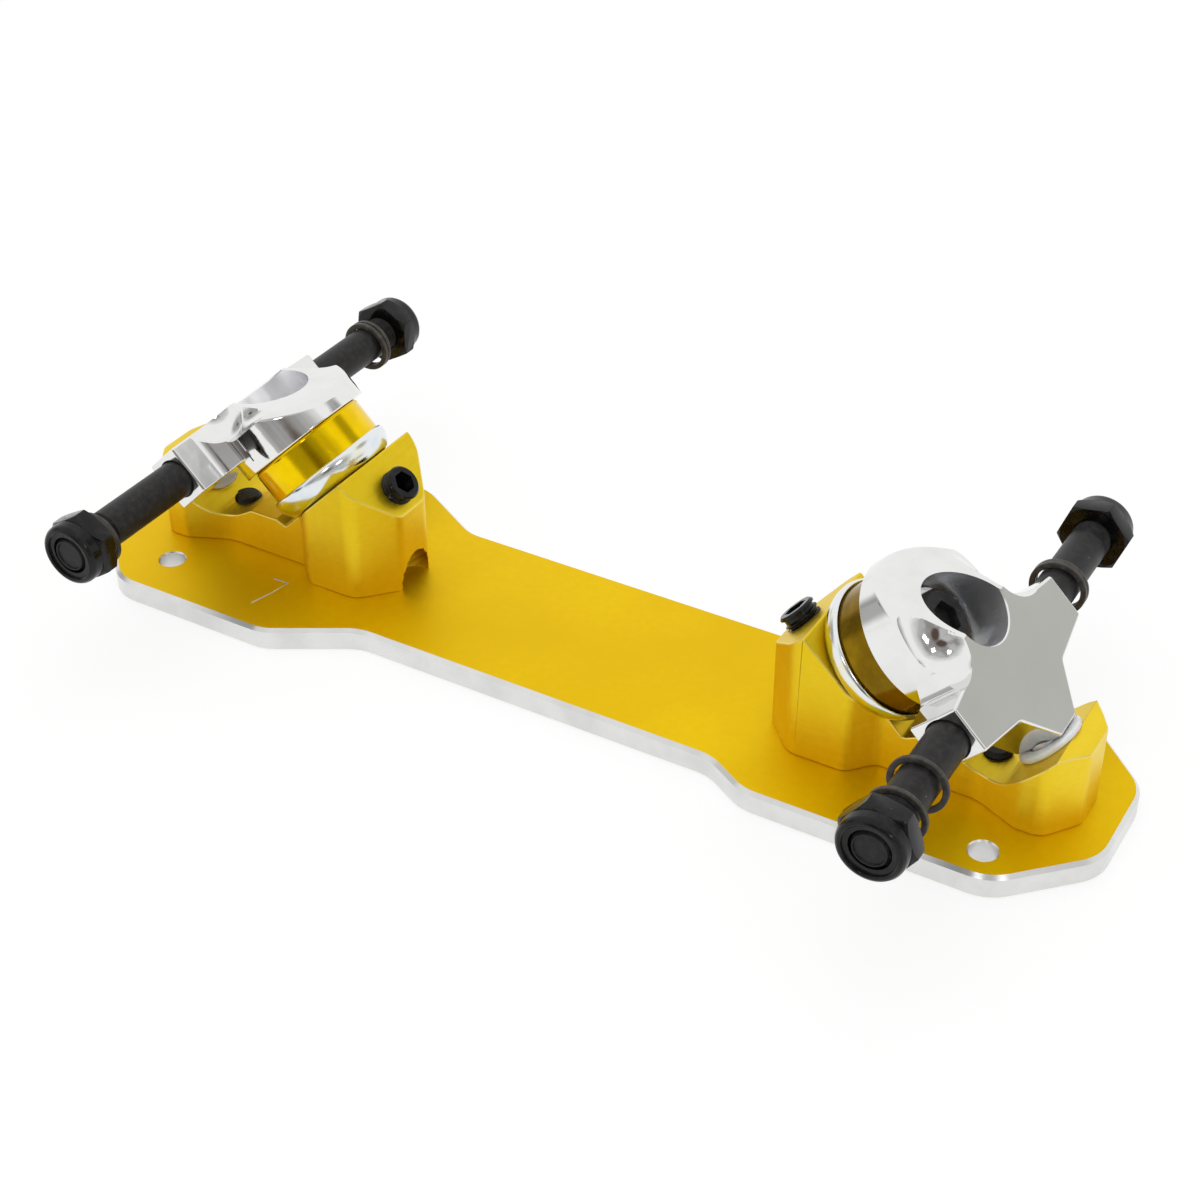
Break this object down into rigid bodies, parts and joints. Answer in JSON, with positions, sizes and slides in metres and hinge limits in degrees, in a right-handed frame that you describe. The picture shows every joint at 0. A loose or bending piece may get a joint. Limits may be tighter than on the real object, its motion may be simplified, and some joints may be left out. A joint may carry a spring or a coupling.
{
  "type": "roller skate plate",
  "caption": "Waisted gold sole plate with a sprung steering truck at toe and heel, each with a polished hanger, a leaning kingpin on urethane cushions and a bare axle for wheels.",
  "frame": {"origin": "middle of the sole face, halfway along the plate", "axes": "+X to the toe, +Y to the left, +Z from the sole face towards the axles"},
  "size_m": [0.2266, 0.114, 0.0461],
  "materials": {
    "gold_plate": "satin gold anodised",
    "gold_block": "milled, gold anodised",
    "polished_alloy": "mirror polished",
    "black_steel": "black oxide",
    "dark_washer": "dark oxide",
    "zinc": "bright zinc plated",
    "urethane": "glossy cast urethane",
    "nylon": "natural nylon"
  },
  "bodies": {
    "base": {"sole_plate": "gold_plate", "front_truck_base": "gold_block", "front_base_screws": "black_steel", "front_pivot_cup": "nylon", "front_kingpin": "black_steel", "front_kingpin_lock_screw": "black_steel", "front_cushion_washer": "zinc", "front_cushion": "urethane", "front_top_cushion": "urethane", "front_top_washer": "zinc", "rear_truck_base": "gold_block", "rear_base_screws": "black_steel", "rear_pivot_cup": "nylon", "rear_kingpin": "black_steel", "rear_kingpin_lock_screw": "black_steel", "rear_cushion_washer": "zinc", "rear_cushion": "urethane", "rear_top_cushion": "urethane", "rear_top_washer": "zinc"},
    "front_truck": {"front_hanger": "polished_alloy", "front_axle": "black_steel", "front_axle_nut_left": "black_steel", "front_axle_nut_right": "black_steel"},
    "rear_truck": {"rear_hanger": "polished_alloy", "rear_axle": "black_steel", "rear_axle_nut_left": "black_steel", "rear_axle_nut_right": "black_steel"},
    "front_left_washers": {"front_washer_left_inner": "dark_washer", "front_washer_left_outer": "dark_washer"},
    "front_right_washers": {"front_washer_right_inner": "dark_washer", "front_washer_right_outer": "dark_washer"},
    "rear_left_inner_washer": {"rear_washer_left_inner": "dark_washer"},
    "rear_left_outer_washer": {"rear_washer_left_outer": "dark_washer"},
    "rear_right_washers": {"rear_washer_right_inner": "dark_washer", "rear_washer_right_outer": "dark_washer"}
  },
  "joints": [
    {"name": "front_steer", "type": "hinge", "parent": "base", "child": "front_truck", "pos_m": [0.08585, 0, 0.0299], "axis": [-0.7071, 0, 0.7071], "range_deg": [-8, 8], "stiffness_Nm_per_rad": 16, "deforming": ["front_cushion", "front_top_cushion"]},
    {"name": "rear_steer", "type": "hinge", "parent": "base", "child": "rear_truck", "pos_m": [-0.08585, 0, 0.0299], "axis": [0.7071, 0, 0.7071], "range_deg": [-8, 8], "stiffness_Nm_per_rad": 16, "deforming": ["rear_cushion", "rear_top_cushion"]},
    {"name": "front_left_washers_slide", "type": "slide", "parent": "front_truck", "child": "front_left_washers", "axis": [0, 1, 0], "range_m": [-0.0241, 0]},
    {"name": "front_right_washers_slide", "type": "slide", "parent": "front_truck", "child": "front_right_washers", "axis": [0, 1, 0], "range_m": [-0.00425, 0.01985]},
    {"name": "rear_left_inner_washer_slide", "type": "slide", "parent": "rear_truck", "child": "rear_left_inner_washer", "axis": [0, 1, 0], "range_m": [-0.01225, 0.00395]},
    {"name": "rear_left_outer_washer_slide", "type": "slide", "parent": "rear_truck", "child": "rear_left_outer_washer", "axis": [0, 1, 0], "range_m": [-0.00395, 0.00395]},
    {"name": "rear_right_washers_slide", "type": "slide", "parent": "rear_truck", "child": "rear_right_washers", "axis": [0, 1, 0], "range_m": [-0.01725, 0.00685]}
  ]
}
